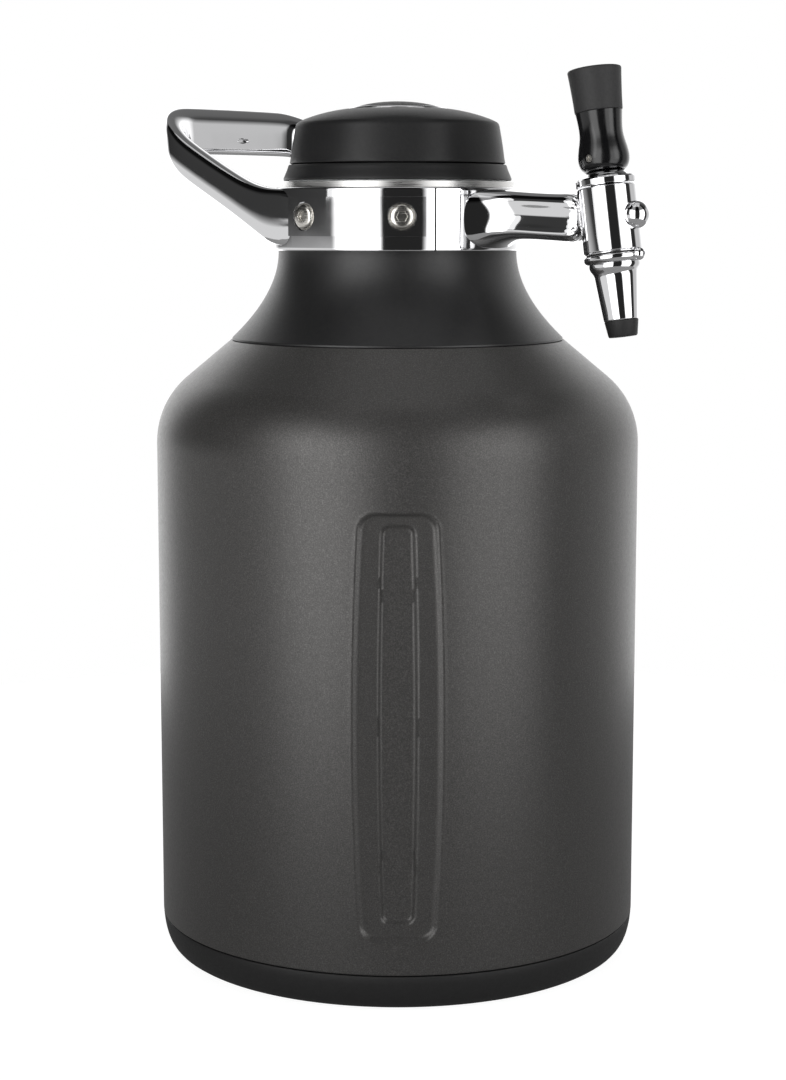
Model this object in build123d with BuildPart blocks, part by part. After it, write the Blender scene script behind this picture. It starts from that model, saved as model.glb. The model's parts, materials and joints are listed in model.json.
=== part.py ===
"""Insulated one-gallon draught growler: vacuum flask, clamped tap and handle, regulator cap.

Frame: +Z up, origin at the middle of the foot, -Y towards the pressed panel of the flask.
The tap points along `tap_dir`, and the carrying handle points the opposite way.
"""

import os
from math import cos, radians, sin

from build123d import *

# ---- driving dimensions, in millimetres ---------------------------------------------------
body_r = 86.0            # outside radius of the flask
wall = 1.0               # outer shell's sheet thickness
inner_wall = 0.9         # inner vessel's sheet thickness
vacuum_gap = 5.5         # between the two walls, square to them
boot_top = 12.4          # where the rubber boot ends
shoulder_slope = 1.2     # fall in radius for each millimetre of rise on the shoulder
shoulder_r = 59.4        # radius at the collar's lower edge
shoulder_z = 219.6       # height of that edge
shoulder_round = 30.0    # radius of the bend between wall and shoulder
collar_step = 1.6        # the shell steps in under the collar by this much
shell_neck_r = 41.0
inner_neck_r = 38.0
mouth_bore_r = 34.5      # crest radius of the mouth thread
neck_top = 272.5
mouth_top = 275.0

band_low, band_high = 251.3, 272.9
band_in_r, band_out_r = 42.3, 46.0
band_mid = (band_low + band_high) / 2

tap_azimuth = -42.0      # degrees from +X
tap_reach = 93.6         # from the flask's axis to the tap's axis
tap_z = 262.1            # height of the tap's plunger
tap_lean = 8.7           # degrees, foot of the tap outwards

passage_z, passage_r = 260.0, 3.6        # the drink's way from the vessel to the tap
clear = 0.1              # between pieces that only fit
running = 0.06           # radial clearance of a turning fit

os.makedirs("parts", exist_ok=True)

up = Vector(0, 0, 1)
tap_dir = Vector(cos(radians(tap_azimuth)), sin(radians(tap_azimuth)), 0)
side_dir = up.cross(tap_dir)
handle_dir = -tap_dir
flask_axis = Axis.Z
upright = Plane.XZ                                      # sketch x is radius, sketch y is height


def finish(piece, name):
    """Labels a finished piece and writes its STEP file."""
    piece.label = name
    export_step(piece, f"parts/{name}.step")
    print(f"{name:20s} {len(piece.solids())} solid(s) {piece.volume / 1000:9.3f} cm3 valid {piece.is_valid}")


def turned(plane, *outline):
    """A piece turned about a plane's own Y axis from a closed outline of (radius, height) points."""
    with BuildPart() as piece:
        with BuildSketch(plane):
            with BuildLine():
                Polyline(*outline, close=True)
            make_face()
        revolve(axis=Axis(plane.origin, plane.y_dir))
    return piece.part


def turned_rounded(plane, outline, radii):
    """The same, with one corner radius for each outline point."""
    with BuildPart() as piece:
        with BuildSketch(plane):
            with BuildLine():
                FilletPolyline(*outline, radius=radii, close=True)
            make_face()
        revolve(axis=Axis(plane.origin, plane.y_dir))
    return piece.part


def across(distance, z):
    """A plane square to the tap's direction, at a distance from the flask's axis."""
    return Plane(origin=tap_dir * distance + up * z, x_dir=side_dir, z_dir=tap_dir)


# ---- flask: outer shell with its pressed panel --------------------------------------------
panel_low, panel_high = 25.0, 167.5
panel_half, panel_bulge = 12.3, 2.3      # half width at its ends, and how much more at mid height
panel_depth = 84.2                       # distance of its flat floor from the flask's axis
slot_low, slot_high = 30.5, 163.5
slot_half, slot_bulge = 5.1, 1.0
slot_depth = 83.0
draft = 38.0                             # slope of the pressed walls, degrees


def pressing(half, bulge, low, high, depth, corner):
    """A tool for a pressed pocket: a long outline with bowed sides and sloping walls."""
    middle = (low + high) / 2
    with BuildPart() as tool:
        with BuildSketch(Plane.XZ.offset(depth)) as outline:
            with BuildLine():
                ThreePointArc((-half, low), (-half - bulge, middle), (-half, high))
                Line((-half, high), (half, high))
                ThreePointArc((half, high), (half + bulge, middle), (half, low))
                Line((half, low), (-half, low))
            make_face()
            fillet(outline.vertices(), corner)
        extrude(amount=6, taper=-draft)
    return tool.part


def shoulder_at(radius, inset=0.0):
    """Height of the shoulder's cone at a radius, or of the line `inset` inside it."""
    slant = (1 + shoulder_slope ** 2) ** 0.5
    return shoulder_z - inset * slant / shoulder_slope + (shoulder_r - radius) / shoulder_slope


boot_joint_r = 83.4      # the shell steps in here to take the boot
inner_r = body_r - wall
joint_inner_r = boot_joint_r - wall
with BuildPart() as cavity:
    with BuildSketch(upright):
        with BuildLine():
            FilletPolyline(
                (0, 4),
                (joint_inner_r, 4),
                (joint_inner_r, boot_top + 1.6),
                (inner_r, boot_top + 1.6),
                (inner_r, shoulder_at(inner_r, wall)),
                (shoulder_r - 1.2, shoulder_at(shoulder_r - 1.2, wall)),
                (shoulder_r - collar_step - 1.2, shoulder_at(shoulder_r - 1.2, wall)),
                (shell_neck_r - wall, shoulder_at(shell_neck_r - wall + collar_step, wall)),
                (shell_neck_r - wall, neck_top + 1),
                (0, neck_top + 1),
                radius=[0, 0, 0, 0, shoulder_round - wall, 0, 0, 0, 0, 0],
                close=True,
            )
        make_face()
    revolve(axis=flask_axis)
    add(
        pressing(panel_half + wall, panel_bulge, panel_low - wall, panel_high + wall, panel_depth - wall, 5),
        mode=Mode.SUBTRACT,
    )
    add(
        pressing(slot_half + wall, slot_bulge, slot_low - wall, slot_high + wall, slot_depth - wall, 3),
        mode=Mode.SUBTRACT,
    )

with BuildPart() as outer_shell:
    with BuildSketch(upright):
        with BuildLine():
            FilletPolyline(
                (0, 5),
                (boot_joint_r, 5),
                (boot_joint_r, boot_top + 0.4),
                (body_r, boot_top + 0.4),
                (body_r, shoulder_at(body_r)),
                (shoulder_r, shoulder_z),
                (shoulder_r - collar_step, shoulder_z),
                (shell_neck_r, shoulder_at(shell_neck_r + collar_step)),
                (shell_neck_r, neck_top),
                (0, neck_top),
                radius=[0, 0, 0, 0.3, shoulder_round, 0, 0, 0, 0, 0],
                close=True,
            )
        make_face()
    revolve(axis=flask_axis)
    add(pressing(panel_half, panel_bulge, panel_low, panel_high, panel_depth, 4), mode=Mode.SUBTRACT)
    add(pressing(slot_half, slot_bulge, slot_low, slot_high, slot_depth, 2), mode=Mode.SUBTRACT)
    add(cavity.part, mode=Mode.SUBTRACT)
    with Locations(across(shell_neck_r, passage_z)):
        Cylinder(radius=passage_r, height=20, mode=Mode.SUBTRACT)
finish(outer_shell.part, "outer_shell")

base_plate = turned(upright, (0, 5.2), (joint_inner_r - clear, 5.2), (joint_inner_r - clear, 6.4), (0, 6.4))
finish(base_plate, "base_plate")

# ---- inner vessel ------------------------------------------------------------------------------
gap = wall + vacuum_gap
vessel_r = body_r - gap
vessel_floor = 11.0


def vessel_outline(inset):
    """The inner vessel's outer line, or the line `inset` inside it."""
    side = vessel_r - inset
    neck = inner_neck_r - inset
    return [
        (0, vessel_floor + inset),
        (side, vessel_floor + inset),
        (side, shoulder_at(side, gap + inset)),
        (neck, shoulder_at(neck, gap + inset)),
        (neck, neck_top + inset),
        (0, neck_top + inset),
    ]


with BuildPart() as inner_vessel:
    add(turned_rounded(upright, vessel_outline(0), [0, 9, 26, 8, 0, 0]))
    add(turned_rounded(upright, vessel_outline(inner_wall), [0, 8, 25, 8.9, 0, 0]), mode=Mode.SUBTRACT)
    with Locations(across(inner_neck_r, passage_z)):
        Cylinder(radius=passage_r, height=10, mode=Mode.SUBTRACT)
finish(inner_vessel.part, "inner_vessel")

sleeve_low = 265.0
mouth_ring = turned(
    upright,
    (mouth_bore_r, sleeve_low),
    (inner_neck_r - inner_wall - clear, sleeve_low),
    (inner_neck_r - inner_wall - clear, neck_top),
    (shell_neck_r, neck_top),
    (shell_neck_r, mouth_top),
    (mouth_bore_r, mouth_top),
)
finish(mouth_ring, "mouth_ring")

# ---- rubber boot and neck collar ---------------------------------------------------------------
base_boot = turned_rounded(
    upright,
    [(0, 0), (body_r - 4.0, 0), (body_r - 0.1, 8.5), (body_r - 0.1, boot_top),
     (boot_joint_r + clear, boot_top), (boot_joint_r + clear, 4.6), (0, 4.6)],
    [0, 4, 12, 0.3, 0, 0, 0],
)
finish(base_boot, "base_boot")

collar_foot = shoulder_r - collar_step + clear
collar_in_r = shell_neck_r + clear
with BuildPart() as neck_collar:
    with BuildSketch(upright):
        with BuildLine():
            Line((shoulder_r - 0.4, shoulder_z + 0.15), (shoulder_r - 0.6, shoulder_z + 1.0))
            Spline(
                (shoulder_r - 0.6, shoulder_z + 1.0),
                (51.2, 228.0),
                (45.6, 237.2),
                (42.2, 250.0),
                tangents=[(-0.77, 0.64), (-0.05, 1)],
            )
            Polyline(
                (42.2, 250.0),
                (42.2, neck_top),
                (collar_in_r, neck_top),
                (collar_in_r, shoulder_at(shell_neck_r + collar_step) + clear),
                (collar_foot, shoulder_z + 0.15),
                (shoulder_r - 0.4, shoulder_z + 0.15),
            )
        make_face()
    revolve(axis=flask_axis)
    with Locations(across(collar_in_r, passage_z)):
        Cylinder(radius=passage_r, height=10, mode=Mode.SUBTRACT)
finish(neck_collar.part, "neck_collar")

# ---- clamp: a band in two castings, the tap's arm and the handle --------------------------------
seam_gap = 0.5           # half the gap at each seam between the two castings, degrees
plate_in_r, plate_out_r = 44.6, 46.8
plate_low, plate_high = 256.4, 269.6
plate_middles = [-68.8, 68.8]   # middle of each side plate, from the tap's direction, degrees
seam = 32.0              # the two castings of the band meet this far either side of the tap, degrees
plate_span = 32.5        # degrees each way from its middle
screw_span = 22.5        # degrees each way to the screws
screw_z = 263.0
arm_z = 262.6
socket_r = 4.3           # widened end, where the plunger works


def wedge(azimuth, half_span, low, high, reach):
    """A wedge with its edge on the flask's axis, to cut one stretch out of a ring."""
    base = tap_azimuth + azimuth
    edge_length = reach / cos(radians(half_span))
    with BuildPart() as tool:
        with BuildSketch(Plane.XY.offset(low)):
            with BuildLine():
                a = (edge_length * cos(radians(base - half_span)), edge_length * sin(radians(base - half_span)))
                b = (edge_length * cos(radians(base + half_span)), edge_length * sin(radians(base + half_span)))
                Polyline((0, 0), a, b, close=True)
            make_face()
        extrude(amount=high - low)
    return tool.part


def ring(in_r, out_r, low, high, soften):
    """A plain ring about the flask's axis with its outer edges softened."""
    return turned_rounded(
        upright,
        [(in_r, low), (out_r, low), (out_r, high), (in_r, high)],
        [0, soften, soften, 0],
    )


def plate_pocket(azimuth):
    """The shallow seat of a side plate, cut in the castings."""
    return (
        wedge(azimuth, plate_span + 0.15, plate_low - clear, plate_high + clear, 60)
        & ring(plate_in_r - clear, 60, plate_low - clear, plate_high + clear, 0)
    )


def radial_plane(azimuth, distance, z):
    """A plane facing outwards from the flask's axis."""
    angle = radians(tap_azimuth + azimuth)
    outwards = Vector(cos(angle), sin(angle), 0)
    return Plane(origin=outwards * distance + up * z, x_dir=up.cross(outwards), z_dir=outwards)


screw_planes = [
    radial_plane(middle + turn, 0, screw_z)
    for middle in plate_middles
    for turn in (-screw_span, screw_span)
]


def half_band(side):
    """One casting's stretch of the band: side is 1 for the tap's and -1 for the handle's."""
    with BuildPart() as half:
        add(ring(band_in_r, band_out_r, band_low, band_high, 1.2))
        if side > 0:
            add(wedge(0, seam - seam_gap, band_low - 1, band_high + 1, 60), mode=Mode.INTERSECT)
        else:
            add(wedge(0, seam + seam_gap, band_low - 1, band_high + 1, 60), mode=Mode.SUBTRACT)
        for middle in plate_middles:
            add(plate_pocket(middle), mode=Mode.SUBTRACT)
        for plane in screw_planes:
            with Locations(plane.offset(band_out_r)):
                Cylinder(radius=2.1, height=12, mode=Mode.SUBTRACT)
    return half.part


# sections of the arm: distance out, width, height, corner radius
arm_sections = [(43.4, 34.0, 21.0, 6.0), (53.0, 19.0, 18.0, 6.0), (62.0, 14.5, 15.8, 5.5), (88.0, 14.0, 16.6, 5.5)]
tap_origin = tap_dir * tap_reach + up * tap_z
tap_up = up * cos(radians(tap_lean)) - tap_dir * sin(radians(tap_lean))
tap_out = tap_dir * cos(radians(tap_lean)) + up * sin(radians(tap_lean))
tap_plane = Plane(origin=tap_origin, x_dir=tap_out, z_dir=tap_out.cross(tap_up))   # y is the tap's axis
tap_body_r = 10.0

with BuildPart() as arm:
    for distance, width, height, corner in arm_sections:
        with BuildSketch(across(distance, arm_z)):
            RectangleRounded(width, height, corner)
    loft()
    with Locations(Location((0, 0, band_mid))):
        Cylinder(radius=band_in_r + 1.5, height=60, mode=Mode.SUBTRACT)

with BuildPart() as tap_clamp:
    add(half_band(1))
    add(arm.part)
    with Locations(Plane(origin=tap_origin, z_dir=tap_up)):
        Cylinder(radius=tap_body_r + 0.05, height=60, mode=Mode.SUBTRACT)
    with Locations(across(56.0, passage_z)):
        Cylinder(radius=passage_r, height=36, mode=Mode.SUBTRACT)
    with Locations(Plane(origin=tap_origin - tap_out * 16, z_dir=tap_out)):
        Cylinder(radius=socket_r, height=16, mode=Mode.SUBTRACT)
finish(tap_clamp.part, "tap_clamp")

# handle: a side outline crossed with a loop drawn from above
loop_half, loop_reach, strap = 46.0, 86.3, 8.3
loop_start = 6.0         # the loop's arms start this far out, inside the band
outer_bend = 24.0
handle_plan = Plane(origin=up * 245, x_dir=handle_dir, z_dir=up)                         # x points outwards
handle_side = Plane(origin=(0, 0, 0), x_dir=handle_dir, z_dir=handle_dir.cross(up))      # y is height

with BuildPart() as loop:
    with BuildSketch(handle_plan):
        for inset, start in ((0, loop_start), (strap, loop_start - 1)):
            half, reach, bend = loop_half - inset, loop_reach - inset, outer_bend - inset
            with BuildLine():
                FilletPolyline(
                    (start, -half), (reach, -half), (reach, half), (start, half),
                    radius=[0, bend, bend, 0], close=True,
                )
            make_face(mode=Mode.SUBTRACT if inset else Mode.ADD)
    extrude(amount=62)

with BuildPart() as handle_outline:
    with BuildSketch(handle_side):
        with BuildLine():
            Polyline((15, 252.0), (18, 252.4), (70, 279.3), (78, 285.5), (86.3, 291.5), (86.3, 299.5), (83.5, 302.0))
            Polyline((83.5, 302.0), (77.5, 295.5))
            Spline((77.5, 295.5), (66.0, 290.6), (52.5, 284.6), (39.6, 278.4), (30.0, 274.4), (20.0, 272.8))
            Polyline((20.0, 272.8), (15, 272.8), (15, 252.0))
        make_face()
    extrude(amount=50, both=True)

with BuildPart() as handle_clamp:
    add(loop.part)
    add(handle_outline.part, mode=Mode.INTERSECT)
    with Locations(Location((0, 0, band_mid))):
        Cylinder(radius=band_in_r + 1.5, height=120, mode=Mode.SUBTRACT)
    for middle in plate_middles:
        add(plate_pocket(middle), mode=Mode.SUBTRACT)
    add(half_band(-1))
finish(handle_clamp.part, "handle_clamp")

# ---- side plates and their screws -------------------------------------------------------------
head_r, head_seat, head_top = 4.3, 45.5, 47.3
shank_r, shank_end = 2.0, 42.8


def side_plate(azimuth):
    """A bent cover plate over the clamp, with two counterbored screw holes."""
    with BuildPart() as plate:
        add(
            wedge(azimuth, plate_span, plate_low, plate_high, 60)
            & ring(plate_in_r, plate_out_r, plate_low, plate_high, 0.7)
        )
        for plane in screw_planes:
            with Locations(plane.offset(head_seat + 5)):
                Cylinder(radius=head_r + 0.3, height=10, mode=Mode.SUBTRACT)
            with Locations(plane.offset(head_seat)):
                Cylinder(radius=shank_r + clear, height=6, mode=Mode.SUBTRACT)
    return plate.part


finish(side_plate(plate_middles[0]), "side_plate_front")
finish(side_plate(plate_middles[1]), "side_plate_back")

with BuildPart() as plate_screws:
    for plane in screw_planes:
        with BuildSketch(plane.offset(shank_end)):
            Circle(shank_r)
        extrude(amount=head_seat - shank_end)
        with BuildSketch(plane.offset(head_seat)):
            Circle(head_r)
        extrude(amount=head_top - head_seat)
        with BuildSketch(plane.offset(head_top - 1.2)):
            RegularPolygon(radius=2.0, side_count=6)
        extrude(amount=2, mode=Mode.SUBTRACT)
finish(plate_screws.part, "plate_screws")

# ---- drink line: nipple, seal and dip tube ---------------------------------------------------------
nipple_r, nipple_bore = 3.5, 2.2
drop_at, drop_low = 30.5, 252.0      # the nipple turns down at this distance from the flask's axis
with BuildPart() as drink_nipple:
    with BuildSketch(across(drop_at, passage_z)):
        Circle(nipple_r)
    extrude(amount=24)
    with BuildSketch(Plane(origin=tap_dir * drop_at + up * drop_low)):
        Circle(nipple_r)
    extrude(amount=passage_z + nipple_r - drop_low)
    with Locations(across(drop_at + 15, passage_z)):
        Cylinder(radius=nipple_bore, height=30, mode=Mode.SUBTRACT)
    with Locations(Plane(origin=tap_dir * drop_at + up * (drop_low + 3))):
        Cylinder(radius=nipple_bore, height=10, mode=Mode.SUBTRACT)
finish(drink_nipple.part, "drink_nipple")

with BuildPart() as nipple_seal:
    with BuildSketch(across(inner_neck_r + clear, passage_z)):
        Circle(nipple_r + 1.8)
        Circle(nipple_r + clear, mode=Mode.SUBTRACT)
    extrude(amount=1.5)
finish(nipple_seal.part, "nipple_seal")

tube_low = vessel_floor + inner_wall + 3
with BuildPart() as dip_tube:
    with BuildSketch(Plane(origin=tap_dir * drop_at + up * tube_low)):
        Circle(3.2)
        Circle(nipple_bore, mode=Mode.SUBTRACT)
    extrude(amount=drop_low - tube_low)
    with Locations(across(drop_at, tube_low)):
        Cylinder(radius=1.2, height=20, mode=Mode.SUBTRACT)
finish(dip_tube.part, "dip_tube")

# ---- tap ----------------------------------------------------------------------------------------------
chamber_r = 5.6
body_low, body_high = -11.2, 10.6
with BuildPart() as tap_body:
    add(turned_rounded(
        tap_plane,
        [(0, body_low), (tap_body_r - 0.4, body_low), (tap_body_r, body_low + 0.5),
         (tap_body_r, body_high), (0, body_high)],
        [0, 0, 0, 0.4, 0],
    ))
    with Locations(Plane(origin=tap_origin + tap_up * 6, z_dir=tap_up)):
        Cylinder(radius=chamber_r, height=20, mode=Mode.SUBTRACT)
    with Locations(Plane(origin=tap_origin - tap_up * 8, z_dir=tap_up)):
        Cylinder(radius=3.0, height=20, mode=Mode.SUBTRACT)
    with Locations(Plane(origin=tap_origin - tap_out * 8, z_dir=tap_out)):
        Cylinder(radius=socket_r, height=12, mode=Mode.SUBTRACT)
    with Locations(Plane(origin=tap_origin + tap_out * 8, z_dir=tap_out)):
        Cylinder(radius=3.0, height=12, mode=Mode.SUBTRACT)
finish(tap_body.part, "tap_body")

pivot_up = 9.0           # the lever's ball above the plunger's axis
dome_r, foot_r = 9.2, 9.8    # spheres about the lever's ball: bonnet's dome and the hollow of the lever's foot
dome_edge, dome_hole = 8.02, 4.8
rim_top = 13.5


def on_sphere(sphere_r, radius):
    """A point (radius, height) on a sphere about the lever's ball."""
    return radius, pivot_up + (sphere_r ** 2 - radius ** 2) ** 0.5


with BuildPart() as bonnet_ring:
    with BuildSketch(tap_plane):
        with BuildLine():
            Polyline(
                (dome_hole, body_high + 0.3), (tap_body_r + 0.2, body_high + 0.3), (tap_body_r + 0.2, rim_top - 0.6),
                (tap_body_r - 0.4, rim_top), (dome_edge, rim_top), on_sphere(dome_r, dome_edge),
            )
            ThreePointArc(on_sphere(dome_r, dome_edge), on_sphere(dome_r, 6.5), on_sphere(dome_r, dome_hole))
            Line(on_sphere(dome_r, dome_hole), (dome_hole, body_high + 0.3))
        make_face()
    revolve(axis=Axis(tap_origin, tap_up))
finish(bonnet_ring.part, "bonnet_ring")

nut_low = -14.4
tap_nut = turned_rounded(
    tap_plane,
    [(3.0, nut_low), (9.0, nut_low), (tap_body_r + 0.1, nut_low + 1.3), (tap_body_r + 0.1, body_low - 0.5),
     (3.0, body_low - 0.5)],
    [0, 0.3, 0.5, 0.4, 0],
)
finish(tap_nut, "tap_nut")

body_gasket = turned(
    tap_plane, (3.0, body_low - 0.5), (tap_body_r - 0.9, body_low - 0.5), (tap_body_r - 0.9, body_low), (3.0, body_low)
)
finish(body_gasket, "body_gasket")

spout_low = -33.2
spout = turned_rounded(
    tap_plane,
    [(2.8, spout_low), (5.8, spout_low), (7.3, -18.4), (8.7, -15.8), (8.7, nut_low), (2.8, nut_low)],
    [0, 0.2, 2, 1, 0, 0],
)
finish(spout, "spout")

spout_tip = turned_rounded(
    tap_plane,
    [(2.6, -38.5), (4.8, -38.5), (5.6, spout_low), (2.6, spout_low)],
    [0, 0.5, 0, 0],
)
finish(spout_tip, "spout_tip")

with BuildPart() as front_plug:
    with BuildSketch(Plane(origin=tap_origin + tap_out * (tap_body_r - 4.2), z_dir=tap_out)):
        Circle(2.9)
    extrude(amount=4.6)
    with Locations(tap_origin + tap_out * (tap_body_r + 0.6)):
        Sphere(radius=4.6)
    with Locations(Plane(origin=tap_origin, z_dir=tap_up)):
        Cylinder(radius=tap_body_r + 0.05, height=30, mode=Mode.SUBTRACT)
    with BuildSketch(Plane(origin=tap_origin + tap_out * (tap_body_r - 4.2), z_dir=tap_out)):
        Circle(2.9)
    extrude(amount=4.6)
finish(front_plug.part, "front_plug")

with BuildPart() as nut_lock_screw:
    with Locations(tap_origin + tap_out * (tap_body_r + 0.3) + tap_up * -12.6):
        Sphere(radius=2.1)
    with Locations(Plane(origin=tap_origin, z_dir=tap_up)):
        Cylinder(radius=tap_body_r + 0.15, height=60, mode=Mode.SUBTRACT)
finish(nut_lock_screw.part, "nut_lock_screw")

# ---- tap lever and the plunger that it works ---------------------------------------------------------
ball_r = 3.6
stem_r = 1.6
foot_edge = 6.8
trunnion_r, trunnion_span = 1.2, 10.4      # stub pins that keep the ball turning about one line
with BuildPart() as lever_stem:
    with BuildSketch(Plane(origin=tap_origin - tap_up * 1.0, z_dir=tap_up)):
        Circle(stem_r)
    extrude(amount=24)
    with Locations(tap_origin + tap_up * pivot_up):
        Sphere(radius=ball_r)
    with Locations(Plane(origin=tap_origin + tap_up * pivot_up, z_dir=side_dir)):
        Cylinder(radius=trunnion_r, height=trunnion_span)
finish(lever_stem.part, "lever_stem")

stem_end = 23.0 + clear
stem_fit = stem_r + clear
screw_up = 19.8
with BuildPart() as lever_collar:
    with BuildSketch(tap_plane):
        with BuildLine():
            ThreePointArc(on_sphere(foot_r, stem_fit), on_sphere(foot_r, 5.0), on_sphere(foot_r, foot_edge))
            Line(on_sphere(foot_r, foot_edge), (7.7, 17.2))
            Spline((7.7, 17.2), (8.4, 20.5), (7.2, 28.3), (7.7, 35.0), tangents=[(0.45, 1), (0.08, 1)])
            Polyline((7.7, 35.0), (0, 35.0), (0, stem_end), (stem_fit, stem_end), on_sphere(foot_r, stem_fit))
        make_face()
    revolve(axis=Axis(tap_origin, tap_up))
    with Locations(Plane(origin=tap_origin + tap_up * screw_up, z_dir=side_dir)):
        Cylinder(radius=1.5, height=40, mode=Mode.SUBTRACT)
finish(lever_collar.part, "lever_collar")

with BuildPart() as lever_set_screws:
    for side in (-1, 1):
        with BuildSketch(Plane(origin=tap_origin + tap_up * screw_up + side_dir * side * 3.2, z_dir=side_dir * side)):
            Circle(1.4)
        extrude(amount=4.7)
        with BuildSketch(Plane(origin=tap_origin + tap_up * screw_up + side_dir * side * 6.9, z_dir=side_dir * side)):
            RegularPolygon(radius=0.8, side_count=6)
        extrude(amount=2, mode=Mode.SUBTRACT)
finish(lever_set_screws.part, "lever_set_screws")

lever_grip = turned_rounded(
    tap_plane,
    [(0, 35.1), (7.9, 35.1), (8.85, 49.2), (0, 49.2)],
    [0, 0.2, 0.7, 0],
)
finish(lever_grip, "lever_grip")

plunger_r = 3.2
with BuildPart() as plunger:
    with BuildSketch(Plane(origin=tap_origin - tap_out * 10.5, z_dir=tap_out)):
        Circle(plunger_r)
    extrude(amount=14)
    with BuildSketch(tap_plane):
        with BuildLine():
            Polyline((-1.9, -1.4), (2.0, -1.4), (2.2, 0.4), (3.05, 4.0), (-1.9, 4.0), close=True)
        make_face()
    extrude(amount=stem_r + 0.2, both=True, mode=Mode.SUBTRACT)      # room for the stem as it tilts
finish(plunger.part, "plunger")

with BuildPart() as plunger_seal:
    with BuildSketch(Plane(origin=tap_origin - tap_out * 12.2, z_dir=tap_out)):
        Circle(3.9)
    extrude(amount=1.7)
finish(plunger_seal.part, "plunger_seal")

# ---- cap: gasket, base and regulator -------------------------------------------------------------------
cap_gasket = turned(upright, (35.6, mouth_top), (38.5, mouth_top), (38.5, 276.4), (35.6, 276.4))
finish(cap_gasket, "cap_gasket")

plug_r = mouth_bore_r - running
regulator_r = 15.0
boss_r, boss_top = 30.0, 289.0
cap_base = turned_rounded(
    upright,
    [(regulator_r + clear, 266), (plug_r, 266), (plug_r, 276.4), (38.8, 276.4), (38.8, 275.5), (40.3, 275.5),
     (38.6, 281.0), (boss_r, 281.0), (boss_r, boss_top), (regulator_r + clear, boss_top)],
    [0, 0.5, 0, 0, 0, 0.3, 0.3, 0, 0, 0],
)
finish(cap_base, "cap_base")

regulator_low = 255.0
regulator_body = turned(
    upright, (2.0, regulator_low), (regulator_r, regulator_low), (regulator_r, boss_top),
    (11.0, boss_top), (11.0, 264.0), (2.0, 264.0)
)
finish(regulator_body, "regulator_body")

diaphragm = turned(upright, (0, 264.1), (10.8, 264.1), (10.8, 265.1), (0, 265.1))
finish(diaphragm, "diaphragm")

spring_r, spring_wire, spring_low, spring_high = 7.6, 1.4, 266.0, 279.6
with BuildPart() as regulator_spring:
    with BuildLine() as spring_line:
        Helix(pitch=3.2, height=spring_high - spring_low, radius=spring_r, center=(0, 0, spring_low))
    with BuildSketch(Plane(origin=spring_line.line @ 0, z_dir=spring_line.line % 0)):
        Circle(spring_wire / 2)
    sweep()
finish(regulator_spring.part, "regulator_spring")

piercing_pin = turned(upright, (0, 248.8), (1.8, 252.5), (1.8, 263.0), (0, 263.0))
finish(piercing_pin, "piercing_pin")

# ---- gas cartridge in its sleeve ---------------------------------------------------------------------
sleeve_bottom = 158.0
with BuildPart() as cartridge_sleeve:
    add(turned_rounded(
        upright,
        [(0, sleeve_bottom), (13.6, sleeve_bottom), (13.6, regulator_low), (12.2, regulator_low),
         (12.2, sleeve_bottom + 1.6), (0, sleeve_bottom + 1.6)],
        [0, 4, 0, 0, 3, 0],
    ))
    with Locations((0, 0, sleeve_bottom)):
        Cylinder(radius=2.1, height=10, mode=Mode.SUBTRACT)
finish(cartridge_sleeve.part, "cartridge_sleeve")

cartridge_low = 161.0
gas_cartridge = turned_rounded(
    upright,
    [(0, cartridge_low), (11.0, cartridge_low), (11.0, 234.0), (4.2, 240.5), (4.2, 248.4), (0, 248.4)],
    [0, 9, 9, 3, 0.6, 0],
)
finish(gas_cartridge, "gas_cartridge")

cartridge_seal = turned(upright, (4.4, 246.0), (8.0, 246.0), (8.0, 248.4), (4.4, 248.4))
finish(cartridge_seal, "cartridge_seal")

gas_valve = turned(
    upright, (0.8, 150.0), (2.0, 150.0), (3.6, 156.0), (3.6, sleeve_bottom - clear), (2.0, sleeve_bottom - clear),
    (2.0, 159.4), (0.8, 159.4)
)
finish(gas_valve, "gas_valve")

# ---- pressure dial ---------------------------------------------------------------------------------------
dial_bore = boss_r + running
recess_r, recess_floor = 17.5, 298.2
screw_r = 4.0
with BuildPart() as pressure_dial:
    with BuildSketch(upright):
        with BuildLine():
            Polyline((dial_bore, 281.3), (38.1, 281.3), (38.3, 282.3), (36.7, 293.8), (35.1, 295.8))
            ThreePointArc((35.1, 295.8), (26.6, 298.9), (recess_r, 300.5))
            Polyline(
                (recess_r, 300.5), (recess_r, recess_floor), (screw_r + clear, recess_floor),
                (screw_r + clear, boss_top + 0.6), (dial_bore, boss_top + 0.6), (dial_bore, 281.3),
            )
        make_face()
    revolve(axis=flask_axis)
finish(pressure_dial.part, "pressure_dial")

dial_bezel = turned_rounded(
    upright,
    [(16.2, recess_floor), (recess_r - 0.05, recess_floor), (recess_r - 0.05, 300.9), (16.2, 301.2)],
    [0, 0, 0.4, 0.2],
)
finish(dial_bezel, "dial_bezel")

with BuildPart() as dial_cap:
    with BuildSketch(upright):
        with BuildLine():
            Polyline((0, 303.1), (0, recess_floor + clear), (16.1, recess_floor + clear), (16.1, 300.7))
            TangentArc((0, 303.1), (16.1, 300.7), tangent=(1, 0))
        make_face()
    revolve(axis=flask_axis)
finish(dial_cap.part, "dial_cap")

adjusting_screw = turned(
    upright, (0, 280.6), (9.4, 280.6), (9.4, 283.0), (screw_r, 283.0), (screw_r, recess_floor), (0, recess_floor)
)
finish(adjusting_screw, "adjusting_screw")
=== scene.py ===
"""Looks of the insulated draught growler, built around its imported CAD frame."""

import json
from math import atan2, cos, hypot, pi, radians, sin, sqrt, tan

import bmesh
import bpy
from mathutils import Matrix, Vector
from mathutils.geometry import interpolate_bezier


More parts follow.
